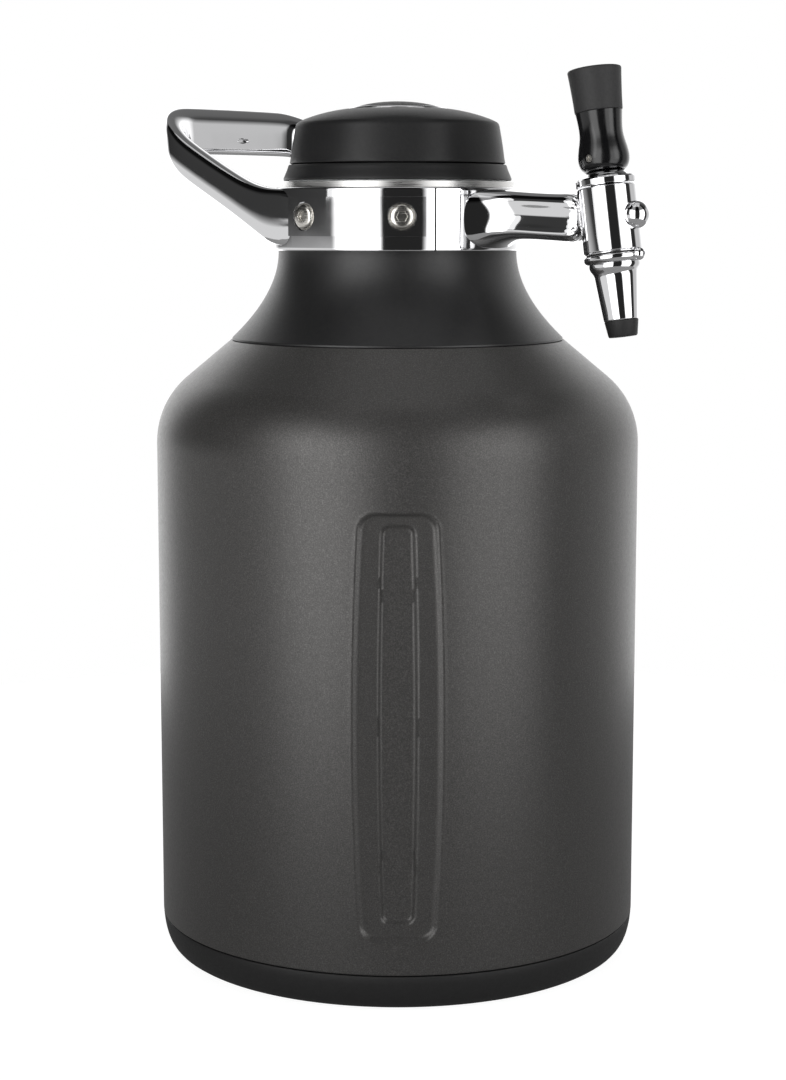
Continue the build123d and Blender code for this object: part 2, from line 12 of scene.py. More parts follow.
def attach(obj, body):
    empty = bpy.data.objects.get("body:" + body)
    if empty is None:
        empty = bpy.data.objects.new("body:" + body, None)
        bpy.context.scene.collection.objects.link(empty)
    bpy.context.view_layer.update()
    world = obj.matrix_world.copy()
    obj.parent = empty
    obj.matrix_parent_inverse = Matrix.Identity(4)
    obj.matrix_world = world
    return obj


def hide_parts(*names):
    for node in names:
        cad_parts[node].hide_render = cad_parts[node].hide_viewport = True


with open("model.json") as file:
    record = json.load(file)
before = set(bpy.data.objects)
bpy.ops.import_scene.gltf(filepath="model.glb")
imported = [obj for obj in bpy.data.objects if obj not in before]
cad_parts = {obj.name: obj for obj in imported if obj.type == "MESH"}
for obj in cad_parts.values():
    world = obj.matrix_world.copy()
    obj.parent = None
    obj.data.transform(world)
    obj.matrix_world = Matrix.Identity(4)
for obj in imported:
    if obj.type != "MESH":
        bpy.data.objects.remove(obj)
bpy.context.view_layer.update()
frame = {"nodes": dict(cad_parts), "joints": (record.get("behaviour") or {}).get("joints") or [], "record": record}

MM = 0.001

# ---- directions and places taken from the frame ------------------------------------------------
UP = Vector((0, 0, 1))
joints = {joint["name"]: joint for joint in frame["joints"]}
SIDE = Vector(joints["lever_tilt"]["axis"])          # across the tap and handle
TAP = SIDE.cross(UP)                                 # from the flask's axis towards the tap
PIVOT = Vector(joints["lever_tilt"]["pos_m"])        # the lever's ball
TAP_OUT = Vector(joints["plunger_slide"]["axis"])    # square to the tap's axis, outwards
TAP_UP = TAP_OUT.cross(SIDE)
PIVOT_UP = 9.0                                       # the ball above the plunger, millimetres
TAP_PLACE = Matrix.Translation(PIVOT - TAP_UP * PIVOT_UP * MM) @ Matrix(
    (TAP_OUT, SIDE, TAP_UP)
).transposed().to_4x4()
CLAMP_PLACE = Matrix((TAP, SIDE, UP)).transposed().to_4x4()   # x towards the tap, y across
UPRIGHT = Matrix.Identity(4)


# ---- materials ---------------------------------------------------------------------------------
def new_material(name, color, metallic=0.0, roughness=0.5, **sockets):
    """A Principled material with its constant sockets set."""
    material = bpy.data.materials.new(name)
    material.use_nodes = True
    shader = material.node_tree.nodes["Principled BSDF"]
    shader.inputs["Base Color"].default_value = (*color, 1)
    shader.inputs["Metallic"].default_value = metallic
    shader.inputs["Roughness"].default_value = roughness
    for label, value in sockets.items():
        shader.inputs[label.replace("_", " ")].default_value = value
    return material


def noise(material, scale, detail=3.0, stretch=(1, 1, 1)):
    """A noise texture in the piece's own coordinates, in cycles per metre."""
    nodes, links = material.node_tree.nodes, material.node_tree.links
    place = nodes.new("ShaderNodeTexCoord")
    mapping = nodes.new("ShaderNodeMapping")
    mapping.inputs["Scale"].default_value = stretch
    texture = nodes.new("ShaderNodeTexNoise")
    texture.inputs["Scale"].default_value = scale
    texture.inputs["Detail"].default_value = detail
    links.new(place.outputs["Object"], mapping.inputs["Vector"])
    links.new(mapping.outputs["Vector"], texture.inputs["Vector"])
    return texture.outputs["Fac"]


def ramp(material, value, stops):
    """A colour ramp over a value, from (position, colour) stops."""
    node = material.node_tree.nodes.new("ShaderNodeValToRGB")
    elements = node.color_ramp.elements
    while len(elements) < len(stops):
        elements.new(0.5)
    for element, (position, color) in zip(elements, stops):
        element.position = position
        element.color = (*color, 1)
    material.node_tree.links.new(value, node.inputs["Fac"])
    return node.outputs["Color"]


def feed(material, socket, value):
    """Drives one socket of the material's shader."""
    material.node_tree.links.new(value, material.node_tree.nodes["Principled BSDF"].inputs[socket])


def spread(material, value, low, high):
    """Maps a noise value onto a range."""
    node = material.node_tree.nodes.new("ShaderNodeMapRange")
    node.inputs["From Min"].default_value = 0.25
    node.inputs["From Max"].default_value = 0.75
    node.inputs["To Min"].default_value = low
    node.inputs["To Max"].default_value = high
    material.node_tree.links.new(value, node.inputs["Value"])
    return node.outputs["Result"]


def bumps(material, *layers):
    """Stacks bump maps on the shader's normal, each a (height value, distance in metres, strength)."""
    nodes, links = material.node_tree.nodes, material.node_tree.links
    normal = None
    for height, distance, strength in layers:
        node = nodes.new("ShaderNodeBump")
        node.inputs["Distance"].default_value = distance
        node.inputs["Strength"].default_value = strength
        links.new(height, node.inputs["Height"])
        if normal:
            links.new(normal, node.inputs["Normal"])
        normal = node.outputs["Normal"]
    feed(material, "Normal", normal)


def powder_coat():
    """Charcoal powder coat: fine orange peel, and a faint metallic speckle."""
    material = new_material("powder_coat", (0.040, 0.039, 0.038), metallic=0.45, roughness=0.36)
    speckle = noise(material, 2600, detail=2)
    feed(material, "Base Color", ramp(material, speckle, [
        (0.30, (0.050, 0.048, 0.047)), (0.52, (0.070, 0.068, 0.066)), (0.72, (0.110, 0.107, 0.104)),
    ]))
    feed(material, "Roughness", spread(material, noise(material, 900), 0.32, 0.41))
    bumps(material, (noise(material, 1500, 2), 0.00006, 0.35), (noise(material, 420, 2), 0.00010, 0.25))
    return material


def moulded(name, dark, light, roughness, grain, depth, gloss=0.5):
    """A moulded plastic or rubber with a fine grain."""
    material = new_material(name, dark, roughness=roughness, Specular_IOR_Level=gloss)
    feed(material, "Base Color", ramp(material, noise(material, grain * 0.4, 4), [(0.3, dark), (0.7, light)]))
    feed(material, "Roughness", spread(material, noise(material, grain), roughness - 0.05, roughness + 0.06))
    bumps(material, (noise(material, grain, 3), depth, 0.4))
    return material


def polished_metal(name, color, roughness, wave):
    """Polished or plated metal: slight waviness, and faint wiping marks in its gloss."""
    material = new_material(name, color, metallic=1.0, roughness=roughness)
    feed(material, "Roughness", spread(material, noise(material, 240, 5), roughness * 0.7, roughness * 1.5))
    bumps(material, (noise(material, 75, 1), wave, 0.5))
    return material


def brushed_metal(name, dark, light, roughness):
    """Turned or drawn metal with fine rings."""
    material = new_material(name, dark, metallic=1.0, roughness=roughness)
    rings = noise(material, 120, 4, stretch=(1, 1, 30))
    feed(material, "Base Color", ramp(material, rings, [(0.3, dark), (0.7, light)]))
    feed(material, "Roughness", spread(material, rings, roughness - 0.06, roughness + 0.10))
    bumps(material, (rings, 0.00002, 0.4))
    return material


coat = powder_coat()
chrome = polished_metal("chrome_plate", (0.83, 0.83, 0.84), 0.045, 0.00010)
tap_chrome = polished_metal("tap_chrome", (0.85, 0.85, 0.86), 0.03, 0.00002)
screw_steel = brushed_metal("screw_steel", (0.55, 0.53, 0.49), (0.72, 0.70, 0.66), 0.20)
bare_steel = brushed_metal("bare_steel", (0.50, 0.50, 0.49), (0.62, 0.61, 0.60), 0.28)
brass = brushed_metal("turned_brass", (0.58, 0.42, 0.20), (0.72, 0.55, 0.28), 0.25)
cartridge = brushed_metal("drawn_cartridge", (0.42, 0.43, 0.44), (0.56, 0.57, 0.58), 0.32)
collar_black = moulded(
    "collar_black", (0.0105, 0.0105, 0.0110), (0.0145, 0.0143, 0.0145), 0.40, 1500, 0.00004,
)
dial_black = moulded(
    "dial_black", (0.0085, 0.0085, 0.0090), (0.0120, 0.0118, 0.0120), 0.47, 2200, 0.00005, gloss=0.32,
)
dome_black = moulded(
    "dome_black", (0.0085, 0.0085, 0.0090), (0.0105, 0.0104, 0.0105), 0.50, 900, 0.00002, gloss=0.25,
)
rubber_black = moulded(
    "rubber_black", (0.0065, 0.0063, 0.0065), (0.0095, 0.0092, 0.0094), 0.60, 1100, 0.00006,
)
grip_black = moulded("grip_black", (0.016, 0.016, 0.0165), (0.023, 0.0225, 0.023), 0.62, 2400, 0.00007)
gloss_black = moulded(
    "gloss_black", (0.0045, 0.0045, 0.0050), (0.0060, 0.0060, 0.0065), 0.16, 500, 0.00001,
)
silicone = moulded("food_silicone", (0.62, 0.64, 0.64), (0.72, 0.74, 0.74), 0.45, 900, 0.00002)
slot_material = {
    "graphite_coat": coat, "bare_steel": bare_steel, "chrome": chrome, "screw_steel": screw_steel,
    "black_plastic": collar_black, "soft_black": rubber_black, "gloss_black": gloss_black,
    "food_silicone": silicone, "regulator_brass": brass, "cartridge_steel": cartridge,
}
node_slot = {part["node"]: part["material_slot"] for part in frame["record"]["subparts"]}
for node, piece in frame["nodes"].items():
    piece.data.materials.clear()
    piece.data.materials.append(slot_material[node_slot[node]])
body_of = {node: body for body, nodes in frame["record"]["behaviour"]["bodies"].items() for node in nodes}


# ---- making pieces -----------------------------------------------------------------------------
def piece_from(work, name, node, material, place=UPRIGHT, bevel=0.3):
    """Turns a bmesh in millimetres into a finished piece that stands for a CAD node."""
    bmesh.ops.recalc_face_normals(work, faces=work.faces)
    mesh = bpy.data.meshes.new(name)
    work.to_mesh(mesh)
    work.free()
    mesh.transform(place @ Matrix.Diagonal((MM, MM, MM, 1)))
    mesh.shade_smooth()
    mesh.materials.append(material)
    piece = bpy.data.objects.new(name, mesh)
    bpy.context.scene.collection.objects.link(piece)
    if bevel:
        edge = piece.modifiers.new("edge", "BEVEL")
        edge.width = bevel * MM
        edge.segments = 3
        edge.limit_method = "ANGLE"
        edge.angle_limit = radians(32)
        edge.harden_normals = True
    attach(piece, body_of[node])
    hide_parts(node)
    return piece


def turned(outline, steps=96, start=0.0, sweep=2 * pi):
    """Spins a closed outline of (radius, height) points about the z axis."""
    work = bmesh.new()
    corners = [
        work.verts.new((radius * cos(start), radius * sin(start), height)) for radius, height in outline
    ]
    on_axis = [abs(radius) < 1e-9 for radius, height in outline]
    edges = [
        work.edges.new((a, b))
        for index, (a, b) in enumerate(zip(corners, corners[1:] + corners[:1]))
        if not (on_axis[index] and on_axis[(index + 1) % len(outline)])
    ]
    whole = abs(sweep - 2 * pi) < 1e-6
    bmesh.ops.spin(
        work, geom=edges + corners, cent=(0, 0, 0), axis=(0, 0, 1), angle=sweep, steps=steps, use_merge=whole,
    )
    if not whole:
        bmesh.ops.holes_fill(work, edges=[edge for edge in work.edges if edge.is_boundary])
    bmesh.ops.remove_doubles(work, verts=work.verts, dist=1e-4)
    return work


def curve(start, pull_out, pull_in, end, count=12):
    """Points along a smooth stretch of outline."""
    handles = [Vector((*point, 0)) for point in (start, pull_out, pull_in, end)]
    return [(point.x, point.y) for point in interpolate_bezier(*handles, count)]


def round_corner(before, corner, after, radius, count=10):
    """Points of an arc of one radius that rounds a corner of an outline."""
    corner = Vector(corner)
    to_before = (Vector(before) - corner).normalized()
    to_after = (Vector(after) - corner).normalized()
    half = to_before.angle(to_after) / 2
    middle = corner + (to_before + to_after).normalized() * (radius / sin(half))
    first = corner + to_before * (radius / tan(half)) - middle
    last = corner + to_after * (radius / tan(half)) - middle
    turn = atan2(first.x * last.y - first.y * last.x, first.dot(last))
    points = []
    for step in range(count + 1):
        angle = turn * step / count
        points.append((
            middle.x + first.x * cos(angle) - first.y * sin(angle),
            middle.y + first.x * sin(angle) + first.y * cos(angle),
        ))
    return points


def smoothstep(low, high, value):
    """0 below low, 1 above high, and a smooth rise between."""
    share = min(max((value - low) / (high - low), 0), 1)
    return share * share * (3 - 2 * share)


def lofted(rings):
    """Bridges closed rings of equal counts of points into a tube with closed ends."""
    work = bmesh.new()
    loops = []
    for ring in rings:
        corners = [work.verts.new(point) for point in ring]
        loops.append([work.edges.new((a, b)) for a, b in zip(corners, corners[1:] + corners[:1])])
    for one, other in zip(loops, loops[1:]):
        bmesh.ops.bridge_loops(work, edges=one + other)
    for end in (loops[0], loops[-1]):
        bmesh.ops.contextual_create(work, geom=end)
    return work


def oval(half_wide, half_high, squareness, count=28):
    """Points of a superellipse, from round (2) towards square (8)."""
    points = []
    for step in range(count):
        angle = 2 * pi * step / count
        across, along = cos(angle), sin(angle)
        power = 2 / squareness
        points.append((
            half_wide * abs(across) ** power * (1 if across >= 0 else -1),
            half_high * abs(along) ** power * (1 if along >= 0 else -1),
        ))
    return points


def disc(radius, depth, sides=48):
    """A plain cylinder or prism about the z axis, with its middle at the origin."""
    work = bmesh.new()
    bmesh.ops.create_cone(work, cap_ends=True, segments=sides, radius1=radius, radius2=radius, depth=depth)
    return work


def mesh_object(work, place, subdivide=0):
    """A plain working object from a bmesh in millimetres, for booleans."""
    bmesh.ops.recalc_face_normals(work, faces=work.faces)
    mesh = bpy.data.meshes.new("working")
    work.to_mesh(mesh)
    work.free()
    mesh.transform(place @ Matrix.Diagonal((MM, MM, MM, 1)))
    piece = bpy.data.objects.new("working", mesh)
    bpy.context.scene.collection.objects.link(piece)
    if subdivide:
        smooth = piece.modifiers.new("smooth", "SUBSURF")
        smooth.levels = smooth.render_levels = subdivide
        settle(piece)
    return piece


def settle(piece):
    """Applies every modifier of a piece to its mesh."""
    bpy.context.view_layer.update()
    evaluated = piece.evaluated_get(bpy.context.evaluated_depsgraph_get())
    settled = bpy.data.meshes.new_from_object(evaluated)
    piece.modifiers.clear()
    piece.data = settled


def combine(piece, others, operation):
    """Joins or cuts a working object with others, and uses the others up."""
    for other in others:
        step = piece.modifiers.new("combine", "BOOLEAN")
        step.operation = operation
        step.solver = "EXACT"
        step.object = other
        settle(piece)
        bpy.data.objects.remove(other)


def adopt(piece, name, node, material, bevel=0.0, angle=32):
    """Turns a working object into a finished piece that stands for a CAD node."""
    piece.name = piece.data.name = name
    piece.data.materials.clear()
    piece.data.materials.append(material)
    piece.data.shade_smooth()
    piece.data.set_sharp_from_angle(angle=radians(angle))
    if bevel:
        edge = piece.modifiers.new("edge", "BEVEL")
        edge.width = bevel * MM
        edge.segments = 2
        edge.limit_method = "ANGLE"
        edge.angle_limit = radians(angle)
    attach(piece, body_of[node])
    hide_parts(node)
    return piece


# ---- flask shell, with its pressed panel -------------------------------------------------------
BODY_R, WALL = 86.0, 1.0
BOOT_TOP = 12.4
SHOULDER_SLOPE = 1.2
SHOULDER_R, SHOULDER_Z, SHOULDER_ROUND = 59.4, 219.6, 30.0
SHELL_NECK_R, NECK_TOP = 41.0, 272.5
PANEL = dict(half=12.3, bulge=2.3, low=25.0, high=167.5, corner=5.0, soften=0.9)
SLOT = dict(half=5.1, bulge=1.0, low=30.5, high=163.5, corner=2.4, soften=0.75)
PANEL_FLOOR, SLOT_DROP = 84.15, 1.25
PANEL_LIP, LIP_REACH = 0.16, 1.6         # a faint raised lip round the panel, and how far in it runs
PRESSED = dict(half=19, low=20, high=173)    # the stretch of the wall that the pressing changes
RING_STEP, RINGS = 2.6, 65               # closely spaced rings, so that the pressing has points to move


def inside_depth(x, z, half, bulge, low, high, corner, soften):
    """How far a point lies inside a long outline with bowed sides, and the share of its full depth there."""
    middle, reach = (low + high) / 2, (high - low) / 2
    width = half + bulge * max(1 - ((z - middle) / reach) ** 2, 0)
    over_x = abs(x) - (width - corner)
    over_z = abs(z - middle) - (reach - corner)
    inside = corner - hypot(max(over_x, 0), max(over_z, 0)) - min(max(over_x, over_z), 0)
    return inside, smoothstep(-soften, soften, inside)


def shell_piece():
    """The outer wall, turned and then pressed in at the front, with its own thickness."""
    knee = (BODY_R, SHOULDER_Z - (BODY_R - SHOULDER_R) / SHOULDER_SLOPE)
    wall_rings = [(BODY_R, BOOT_TOP + 1.0 + RING_STEP * step) for step in range(RINGS)]
    outline = (
        [(83.4, 5.0), (83.4, BOOT_TOP + 0.4), (BODY_R - 0.35, BOOT_TOP + 0.4), (BODY_R - 0.1, BOOT_TOP + 0.5),
         (BODY_R, BOOT_TOP + 0.75)]
        + wall_rings
        + round_corner((BODY_R, 0), knee, (SHOULDER_R, SHOULDER_Z), SHOULDER_ROUND, 14)
        + [(SHOULDER_R + 6, SHOULDER_Z - 5), (SHOULDER_R + 0.2, SHOULDER_Z - 0.17), (SHOULDER_R, SHOULDER_Z),
           (SHOULDER_R - 1.6, SHOULDER_Z), (SHELL_NECK_R, SHOULDER_Z + 14.0), (SHELL_NECK_R, NECK_TOP)]
    )
    work = bmesh.new()
    corners = [work.verts.new((radius, 0, height)) for radius, height in outline]
    edges = [work.edges.new(pair) for pair in zip(corners, corners[1:])]
    bmesh.ops.spin(
        work, geom=edges + corners, cent=(0, 0, 0), axis=(0, 0, 1), angle=2 * pi, steps=192, use_merge=True,
    )
    bmesh.ops.remove_doubles(work, verts=work.verts, dist=1e-4)

    def near_panel(vert):
        x, y, z = vert.co
        return y < 0 and abs(x) < PRESSED["half"] and PRESSED["low"] < z < PRESSED["high"]

    panel_edges = [edge for edge in work.edges if all(near_panel(vert) for vert in edge.verts)]
    bmesh.ops.subdivide_edges(work, edges=panel_edges, cuts=4, use_grid_fill=True)
    for vert in work.verts:
        if not near_panel(vert):
            continue
        x, z = vert.co.x, vert.co.z
        surface = sqrt(BODY_R ** 2 - x ** 2)
        inside, share = inside_depth(x, z, **PANEL)
        lip = PANEL_LIP * max(1 - (inside / LIP_REACH) ** 2, 0)
        depth = max(surface - PANEL_FLOOR, 0) * share
        depth += SLOT_DROP * inside_depth(x, z, **SLOT)[1]
        vert.co.y = -min(surface - depth + lip, BODY_R)
    bmesh.ops.recalc_face_normals(work, faces=work.faces)
    piece = piece_from(work, "flask_shell", "outer_shell", coat, bevel=0)
    piece.data.set_sharp_from_angle(angle=radians(40))
    thick = piece.modifiers.new("wall", "SOLIDIFY")
    thick.thickness = WALL * MM
    thick.offset = -1
    return piece


shell_piece()

# ---- boot and collar ---------------------------------------------------------------------------
piece_from(
    turned(
        [(0, 0.7), (64, 0.7), (65.5, 0), (80.2, 0)]
        + curve((80.2, 0), (83.4, 0.3), (85.4, 5.0), (85.9, 11.9), 9)[1:]
        + [(85.7, BOOT_TOP), (83.5, BOOT_TOP), (83.5, 4.6), (0, 4.6)],
        steps=192,
    ),
    "rubber_boot", "base_boot", rubber_black, bevel=0.2,
)
piece_from(
    turned(
        [(57.9, 219.8), (58.9, 219.8)]
        + curve((58.8, 220.5), (49.4, 229.4), (42.5, 239.5), (42.2, 250.2), 22)
        + [(42.2, NECK_TOP), (41.1, NECK_TOP), (41.1, 233.8)],
        steps=160,
    ),
    "neck_fairing", "neck_collar", collar_black, bevel=0.15,
)

# ---- clamp: a band in two castings, one with the tap's arm and one with the handle -------------
BAND_LOW, BAND_HIGH = 251.3, 272.9
BAND_IN, BAND_OUT = 42.3, 46.0
SEAM, SEAM_GAP = radians(32.0), radians(0.35)    # the castings meet this far either side of the tap
BAND_OUTLINE = (
    [(BAND_IN, BAND_LOW), (BAND_OUT - 0.9, BAND_LOW)]
    + curve((BAND_OUT - 0.9, BAND_LOW), (BAND_OUT - 0.2, BAND_LOW), (BAND_OUT, BAND_LOW + 0.3),
            (BAND_OUT, BAND_LOW + 1.2), 9)[1:]
    + curve((BAND_OUT, BAND_HIGH - 1.2), (BAND_OUT, BAND_HIGH - 0.3), (BAND_OUT - 0.2, BAND_HIGH),
            (BAND_OUT - 0.9, BAND_HIGH), 9)
    + [(BAND_IN, BAND_HIGH)]
)

# stations of the tap's arm: reach, half width, half height, middle height, share of the band's curve, groove
ARM_STATIONS = [
    (44.6, 17.5, 10.3, 262.1, 1.00, 0.00), (46.3, 14.6, 10.1, 262.2, 1.00, 0.00),
    (47.9, 12.2, 9.7, 262.6, 0.90, 0.02), (50.2, 10.2, 9.1, 263.1, 0.65, 0.08),
    (53.6, 8.7, 8.5, 263.5, 0.35, 0.18), (58.5, 7.7, 8.1, 263.5, 0.10, 0.28),
    (66.5, 7.1, 8.0, 263.1, 0.00, 0.32), (76.0, 7.0, 8.1, 262.7, 0.00, 0.30),
    (84.4, 7.0, 8.2, 262.4, 0.00, 0.26),
]


def arm_ring(reach, half_wide, half_high, middle, bend, groove):
    """A section of the arm, with a hollow along each side between two rounded ridges."""
    ring = []
    for y, z in oval(half_wide, half_high, 2.9, 36):
        y *= 1 - groove * max(1 - (z / (0.72 * half_high)) ** 2, 0) ** 1.5
        ring.append((sqrt(reach ** 2 - (bend * y) ** 2), y, middle + z))
    return ring


def tap_clamp_piece():
    """The tap's stretch of the band with the arm."""
    band = mesh_object(turned(BAND_OUTLINE, 48, SEAM_GAP - SEAM, 2 * (SEAM - SEAM_GAP)), CLAMP_PLACE)
    arm = mesh_object(lofted([arm_ring(*station) for station in ARM_STATIONS]), CLAMP_PLACE, subdivide=2)
    combine(band, [arm], "UNION")
    return adopt(band, "tap_arm_clamp", "tap_clamp", chrome, angle=20)


tap_clamp_piece()

# the handle's arms: distance out, half thickness, half height, middle height
HANDLE_ARM = [
    (4.0, 3.6, 10.3, 262.2), (18.5, 4.1, 9.9, 262.8), (24.0, 4.2, 8.9, 264.4), (31.0, 4.1, 7.7, 267.2),
    (40.0, 4.0, 7.1, 271.5), (51.0, 4.0, 6.9, 276.9), (62.3, 4.1, 7.0, 282.6),
]
ARM_SIDE, BEND_R, BEND_AT = 42.0, 19.8, 62.3
BAR_HIGH, BAR_Z = 7.4, 294.2
BAR_SHEAR = 0.72         # the bar's outer side stands higher than its inner side
BEND_STEPS = 7


def handle_ring(out, across, turn, half_thick, half_high, middle):
    """A section of the handle, square to its run in plan."""
    ring = []
    for thick, high in oval(half_thick, half_high, 3.0):
        outwards = thick * sin(turn)
        ring.append(Vector((
            -(out + outwards), across + thick * cos(turn), middle + high + BAR_SHEAR * outwards,
        )))
    return ring


def handle_rings():
    """Sections of the loop: out along one arm, round the bend and the bar, and back along the other arm."""
    rings = [handle_ring(out, ARM_SIDE, 0, thick, high, middle) for out, thick, high, middle in HANDLE_ARM]
    thick, high, middle = HANDLE_ARM[-1][1:]
    for step in range(1, BEND_STEPS + 1):
        share = step / BEND_STEPS
        turn = share * pi / 2
        ease = smoothstep(0, 1, share)
        rings.append(handle_ring(
            BEND_AT + BEND_R * sin(turn), ARM_SIDE - BEND_R + BEND_R * cos(turn), turn,
            thick, high + (BAR_HIGH - high) * ease, middle + (BAR_Z - middle) * sin(turn),
        ))
    other_side = [[Vector((point.x, -point.y, point.z)) for point in ring] for ring in reversed(rings)]
    return rings + other_side


def thumb_dimple():
    """The shallow oval sunk in the middle of the bar's inner face."""
    work = bmesh.new()
    bmesh.ops.create_uvsphere(work, u_segments=32, v_segments=16, radius=1)
    bmesh.ops.scale(work, verts=work.verts, vec=(0.7, 3.2, 1.0))
    bmesh.ops.translate(work, verts=work.verts, vec=(-BEND_AT - BEND_R + HANDLE_ARM[-1][1], 0, BAR_Z - 3.2))
    return mesh_object(work, CLAMP_PLACE)


def handle_clamp_piece():
    """The handle's stretch of the band with the loop."""
    seams = SEAM + SEAM_GAP
    band = mesh_object(turned(BAND_OUTLINE, 144, seams, 2 * pi - 2 * seams), CLAMP_PLACE)
    handle = mesh_object(lofted(handle_rings()), CLAMP_PLACE, subdivide=2)
    bore = mesh_object(disc(BAND_IN + 0.7, 60, 128), CLAMP_PLACE @ Matrix.Translation((0, 0, BAND_LOW * MM)))
    combine(handle, [bore, thumb_dimple()], "DIFFERENCE")
    combine(band, [handle], "UNION")
    return adopt(band, "handle_clamp_loop", "handle_clamp", chrome, angle=20)


handle_clamp_piece()

# ---- side plates and screws --------------------------------------------------------------------
PLATE_TURN, PLATE_HALF, SCREW_TURN = radians(68.8), radians(32.5), radians(22.5)
PLATE_LOW, PLATE_HIGH = 256.4, 269.6
PLATE_IN, PLATE_OUT = 45.9, 46.8
SCREW_Z, SEAT_R, HEAD_R = 263.0, 4.9, 4.2


def facing(turn, distance, height):
    """A place on the clamp that faces outwards, turned from the tap's direction."""
    return (
        CLAMP_PLACE
        @ Matrix.Rotation(turn, 4, "Z")
        @ Matrix.Translation((distance * MM, 0, height * MM))
        @ Matrix.Rotation(pi / 2, 4, "Y")
    )


def side_plate(turn, name, node):
    """A bent cover plate, with a hole for each of its two screws."""
    outline = [
        (PLATE_IN, PLATE_LOW), (PLATE_OUT, PLATE_LOW), (PLATE_OUT, PLATE_HIGH), (PLATE_IN, PLATE_HIGH),
    ]
    plate = mesh_object(turned(outline, 48, turn - PLATE_HALF, 2 * PLATE_HALF), CLAMP_PLACE)
    holes = [
        mesh_object(disc(SEAT_R, 6), facing(turn + way * SCREW_TURN, BAND_OUT + 0.5, SCREW_Z))
        for way in (-1, 1)
    ]
    combine(plate, holes, "DIFFERENCE")
    return adopt(plate, name, node, chrome, bevel=0.5)


side_plate(-PLATE_TURN, "side_plate_near", "side_plate_front")
side_plate(PLATE_TURN, "side_plate_far", "side_plate_back")


def plate_screw(place):
    """A pan head with a hexagon socket, and a thin washer under it."""
    head = mesh_object(turned(
        [(0, -0.3), (HEAD_R + 0.4, -0.3), (HEAD_R + 0.4, 0.1), (HEAD_R - 0.1, 0.1)]
        + curve((HEAD_R - 0.1, 0.5), (HEAD_R - 0.2, 1.1), (2.6, 1.3), (2.2, 1.3), 6) + [(0, 1.3)], 40,
    ), place)
    socket = mesh_object(disc(1.9, 2.0, 6), place @ Matrix.Translation((0, 0, 1.4 * MM)))
    combine(head, [socket], "DIFFERENCE")
    return head


screw_heads = [
    plate_screw(facing(side * PLATE_TURN + way * SCREW_TURN, BAND_OUT + 0.3, SCREW_Z))
    for side in (-1, 1)
    for way in (-1, 1)
]
combine(screw_heads[0], screw_heads[1:], "UNION")
adopt(screw_heads[0], "clamp_screws", "plate_screws", screw_steel, bevel=0.12)

# ---- tap ---------------------------------------------------------------------------------------
TAP_R = 10.0


def on_dome(dome_r, radius):
    """A point (radius, height) on a sphere about the lever's ball."""
    return radius, PIVOT_UP + sqrt(dome_r ** 2 - radius ** 2)


def dome(dome_r, first, last, count=7):
    """Points along such a sphere, from one radius to another."""
    return [on_dome(dome_r, first + (last - first) * step / (count - 1)) for step in range(count)]


def tap_part(outline, name, node, material, bevel=0.25):
    """A piece turned about the tap's own axis."""
    return piece_from(turned(outline, 72), name, node, material, TAP_PLACE, bevel=bevel)


tap_part(
    [(3.0, -11.2), (9.5, -11.2), (9.5, -10.9), (TAP_R, -10.5), (TAP_R, 10.2), (9.6, 10.6), (5.6, 10.6),
     (5.6, -4.0), (3.0, -4.0)],
    "tap_barrel", "tap_body", tap_chrome,
)
tap_part(
    [(4.8, 10.9), (9.8, 10.9), (10.25, 11.2), (10.25, 12.9), (9.8, 13.5), (8.05, 13.5)] + dome(9.2, 8.0, 4.8),
    "tap_bonnet", "bonnet_ring", tap_chrome, bevel=0.2,
)
tap_part(
    [(3.0, -14.4), (8.9, -14.4), (9.7, -13.9), (10.15, -13.2), (10.15, -12.1), (9.8, -11.7), (3.0, -11.7)],
    "tap_lower_nut", "tap_nut", tap_chrome,
)
tap_part(
    [(3.0, -11.7), (9.1, -11.7), (9.1, -11.2), (3.0, -11.2)],
    "tap_gasket", "body_gasket", rubber_black, bevel=0,
)
tap_part(
    [(2.8, -33.2), (5.5, -33.2), (5.8, -32.9)]
    + curve((5.8, -32.6), (6.3, -28.0), (6.9, -22.5), (7.25, -18.8), 7)
    + curve((7.3, -18.4), (7.5, -17.2), (8.6, -16.6), (8.7, -15.4), 6) + [(8.7, -14.4), (2.8, -14.4)],
    "tap_spout", "spout", tap_chrome,
)
tap_part(
    [(2.6, -38.5), (4.5, -38.5), (4.8, -38.1), (5.6, -33.2), (2.6, -33.2)],
    "spout_end", "spout_tip", rubber_black, bevel=0.15,
)


def dome_head(radius, rise, place, name, node, socket=0.0):
    """A domed head that stands on the tap's barrel."""
    foot = radians(30)
    outline = [(0, -rise * sin(foot))]
    for step in range(13):
        angle = -foot + (pi / 2 + foot) * step / 12
        outline.append((radius * cos(angle), rise * sin(angle)))
    outline[-1] = (0, rise)
    head = mesh_object(turned(outline, 48), place)
    if socket:
        hollow = mesh_object(disc(socket, 2.4, 6), place @ Matrix.Translation((0, 0, rise * MM)))
        combine(head, [hollow], "DIFFERENCE")
    return adopt(head, name, node, tap_chrome, bevel=0.1)


def on_tap(outwards, height):
    """A place on the tap, facing outwards from its axis."""
    return TAP_PLACE @ Matrix.Translation((outwards * MM, 0, height * MM)) @ Matrix.Rotation(pi / 2, 4, "Y")


dome_head(4.6, 4.5, on_tap(10.5, 0.0), "front_dome_plug", "front_plug")
dome_head(2.1, 1.9, on_tap(10.1, -12.6), "nut_lock_dome", "nut_lock_screw", socket=0.7)

